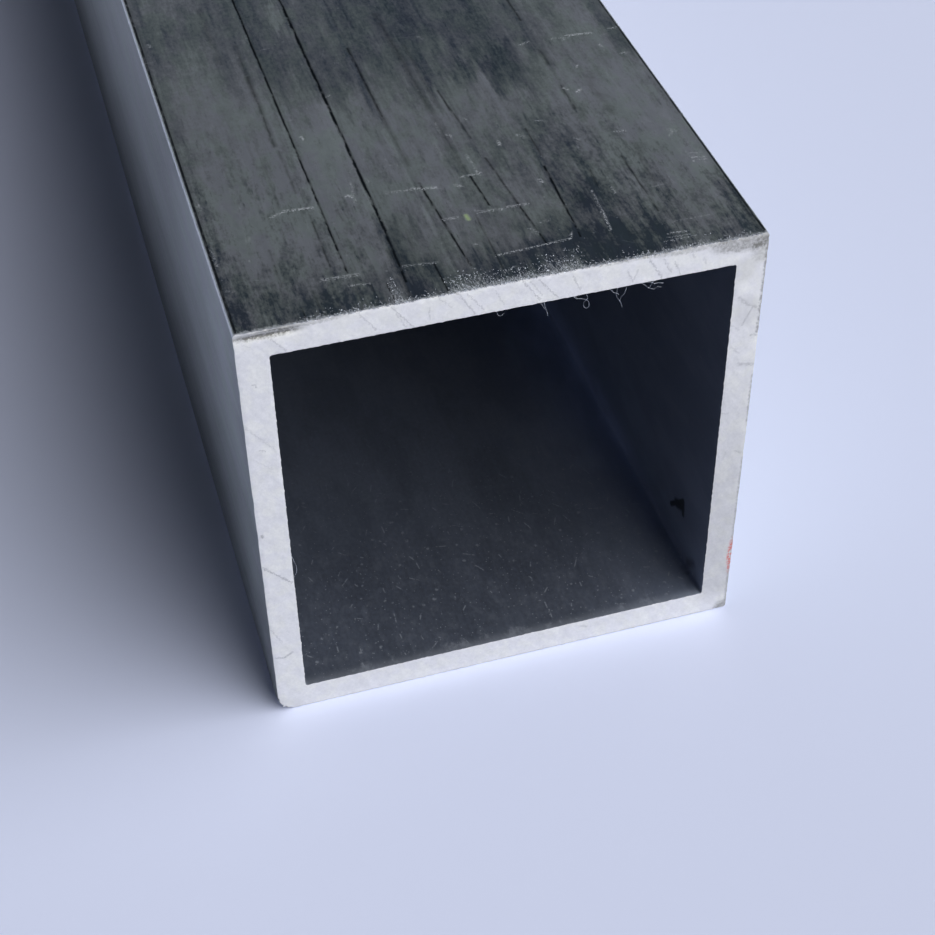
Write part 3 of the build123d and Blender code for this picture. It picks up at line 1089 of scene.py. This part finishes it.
def makeBoreFinish():
    material, tree, shader = newMaterial("boreFinish")
    tube = useGroup(tree, placeOnTube)
    around, along, up, fromCut = tube["Round"], tube["Along"], tube["Up"], tube["From Cut"]
    wall = tubeShape["wall"] / mm
    cloud = layer(around, (0.16, 0.08), 3.0, 0.6)
    drawn = layer(around, (2.2, 0.10), 2.0, 0.6, seed=7.0)
    grain = layer(around, (2.4, 1.6), 3.0, 0.65, seed=13.0)
    colour = mixColour(ease(cloud, 0.35, 0.65), bore["metal"], bore["dull"])
    # Painted light: the corner between the lower side and the right wall is made paler so that its shade does
    # not go black, more so further in
    halfBore = side / mm / 2 - wall
    rightWall = ease(tube["Across"], halfBore - 1.0, halfBore - 0.3)
    fromSeam = halfBore - tube["Across"] + (up - wall) * 0.7
    paintedSeamLight = ease(fromSeam, 18.0, 0.0, shape="LINEAR") ** 2.0 * ease(along, 3.0, 30.0, 1.3, 3.0)
    paintedSeamLight = paintedSeamLight * ease(up, wall + 0.5, wall + 5.0, 1.0, 0.6)
    # Painted light: the bore grows lighter further from the mouth, and its right wall is lightened too
    paintedDepthLight = ease(fromCut, 15.0, 80.0, 1.0, 2.05, shape="LINEAR")
    shade = paintedDepthLight + paintedSeamLight + rightWall * 0.22 + swing(drawn, 0.08) + swing(grain, 0.22)
    colour = multiplied(colour, greyOf(shade))
    # Dust lies on the lower side, mostly by the mouth
    onFloor = ease(up, wall + 1.5, wall + 0.3)
    mouth = ease(fromCut, 40.0, 0.0)
    dots = useGroup(tree, specks, Place=around, Cell=1.6, Radius=0.24, Share=0.28)["Mask"]
    fine = useGroup(tree, specks, Place=around + (31.7, 12.3, 0), Cell=0.6, Radius=0.08, Share=0.35)["Mask"]
    wisps = useGroup(tree, shortScratches, Place=around, Cell=2.3, Length=0.8, Width=0.12, Lean=1.3,
                     Spread=2.2, Share=0.55)["Mask"]
    haze = ease(layer(around, (0.7, 0.5), 4.0, 0.65, seed=19.0), 0.48, 0.72)
    lip = ease(timesPlus(haze, -1.0, fromCut), 1.6, -0.4)
    frail = ease(grain, 0.36, 0.56)
    dust = strongest([
        dots * frail * timesPlus(onFloor, 0.22, 0.05), fine * timesPlus(onFloor, 0.26, 0.05),
        wisps * frail * timesPlus(onFloor, 0.30, 0.02), haze * (onFloor * 0.05),
        lip * timesPlus(onFloor, 0.22, 0.03)]) * timesPlus(mouth, 0.85, 0.15)
    colour = mixColour(dust, colour, bore["dust"])
    spots = calc("MULTIPLY", drawLines(vectorOf(along, up), bore["spots"]), rightWall, clamp=True)
    colour = mixColour(spots, colour, bore["mark"])
    return finishOff(material, colour, timesPlus(dust, -0.8, bore["metallic"]),
                     swing(grain, 0.08) + bore["roughness"], grain, 0.3, 0.01)


# The torn metal of the crumbs and the swarf

burr = {
    "bright": (0.66, 0.70, 0.77),
    "dull": (0.26, 0.28, 0.315),
    "roughness": 0.45,
    "metallic": 0.6,
}


def makeBurrFinish():
    material, tree, shader = newMaterial("tornMetal")
    place = useGroup(tree, placeOnTube)["Place"]
    patchy = noiseOf(place, 2.5, 2.0, 0.6)[0]
    colour = mixColour(ease(patchy, 0.38, 0.62), burr["bright"], burr["dull"])
    return finishOff(material, colour, burr["metallic"], swing(patchy, 0.12) + burr["roughness"],
                     patchy, 0.3, 0.02)


# The room: a pale floor, soft light from the right, and the camera of the photograph

room = {
    "floorColour": (0.71, 0.765, 0.98),
    "floorRoughness": 0.9,
    "floorSize": 12.0,
    "floorDrop": 0.05 * mm,
    "horizon": (0.80, 0.84, 0.94),       # what the camera and the metal see round the horizon
    "overhead": (0.05, 0.053, 0.06),     # and above them
    "fill": (0.008, 0.0088, 0.0105),     # what lights the floor from all round
    "frontFill": (0.17, 0.18, 0.205),    # and the open end from low in front
    "keyFrom": Vector((0.665, -0.50, 0.555)),
    "keyStrength": 4.3,
    "keyAngle": 80.0,
}


def makeFloor():
    half = room["floorSize"] / 2
    z = -room["floorDrop"]
    mesh = bpy.data.meshes.new("floor")
    corners = [(-half, -half, z), (half, -half, z), (half, half, z), (-half, half, z)]
    mesh.from_pydata(corners, [], [(0, 1, 2, 3)])
    floor = bpy.data.objects.new("floor", mesh)
    bpy.context.collection.objects.link(floor)
    material, tree, shader = newMaterial("paleFloor")
    feed(room["floorColour"], shader["Base Color"])
    feed(room["floorRoughness"], shader["Roughness"])
    mesh.materials.append(material)


def makeLight():
    world = bpy.data.worlds.new("studio")
    bpy.context.scene.world = world
    world.use_nodes = True
    tree = world.node_tree
    background = tree.nodes["Background"]
    facing = axes(addNode(tree, "ShaderNodeTexCoord")["Generated"])
    sky = mixColour(ease(facing["Z"], 0.12, 0.55), room["horizon"], room["overhead"])
    inFront = ease(facing["Y"], -0.4, -0.9) * ease(facing["Z"], 0.8, 0.4)
    fill = mixColour(inFront, room["fill"], room["frontFill"])
    path = addNode(tree, "ShaderNodeLightPath")
    seen = strongest([path["Is Camera Ray"], path["Is Glossy Ray"], path["Is Transmission Ray"]])
    feed(mixColour(seen, fill, sky), background.inputs["Color"])

    lamp = bpy.data.lights.new("softKey", "SUN")
    lamp.energy = room["keyStrength"]
    lamp.angle = math.radians(room["keyAngle"])
    key = bpy.data.objects.new("softKey", lamp)
    key.rotation_euler = room["keyFrom"].to_track_quat("Z", "Y").to_euler()
    bpy.context.collection.objects.link(key)


view = {
    "place": Vector((-39.8, -124.2, 148.1)) * mm,    # from the middle of the sawn end's foot
    "aim": Vector((-4.2, 0.0, 28.9)) * mm,
    "roll": -1.0,                                     # degrees
    "lens": 70.6,                                     # on a 36 mm sensor
}


def makeCamera():
    data = bpy.data.cameras.new("camera")
    data.sensor_width = 36.0
    data.lens = view["lens"]
    data.clip_start = 0.005
    data.clip_end = 50.0
    camera = bpy.data.objects.new("camera", data)
    foot = Vector((0, nearEnd, tubeLow.z))
    look = view["aim"] - view["place"]
    turn = look.to_track_quat("-Z", "Y").to_matrix() @ Matrix.Rotation(math.radians(view["roll"]), 3, "Z")
    camera.matrix_world = Matrix.Translation(foot + view["place"]) @ turn.to_4x4()
    bpy.context.collection.objects.link(camera)
    bpy.context.scene.camera = camera


torn = makeBurrFinish()
drawnSkinGroup = makeDrawnSkin()
tube = makeTube({
    "Outside Finish": makeMillFinish("millFinish", drawnSkinGroup, False),
    "Upper Finish": makeMillFinish("upperFinish", drawnSkinGroup, False, drawnSkin["glancing"]),
    "Handled Finish": makeMillFinish("handledFinish", drawnSkinGroup, True, drawnSkin["glancing"]),
    "Bore Finish": makeBoreFinish(), "Sawn Finish": makeSawnFinish()})
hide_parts("square_tube")
for piece in (tube, makeCrumbs(torn), makeSwarf(torn)):
    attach(piece, "root")

makeFloor()
makeLight()
makeCamera()
bpy.context.scene.view_settings.view_transform = "Standard"
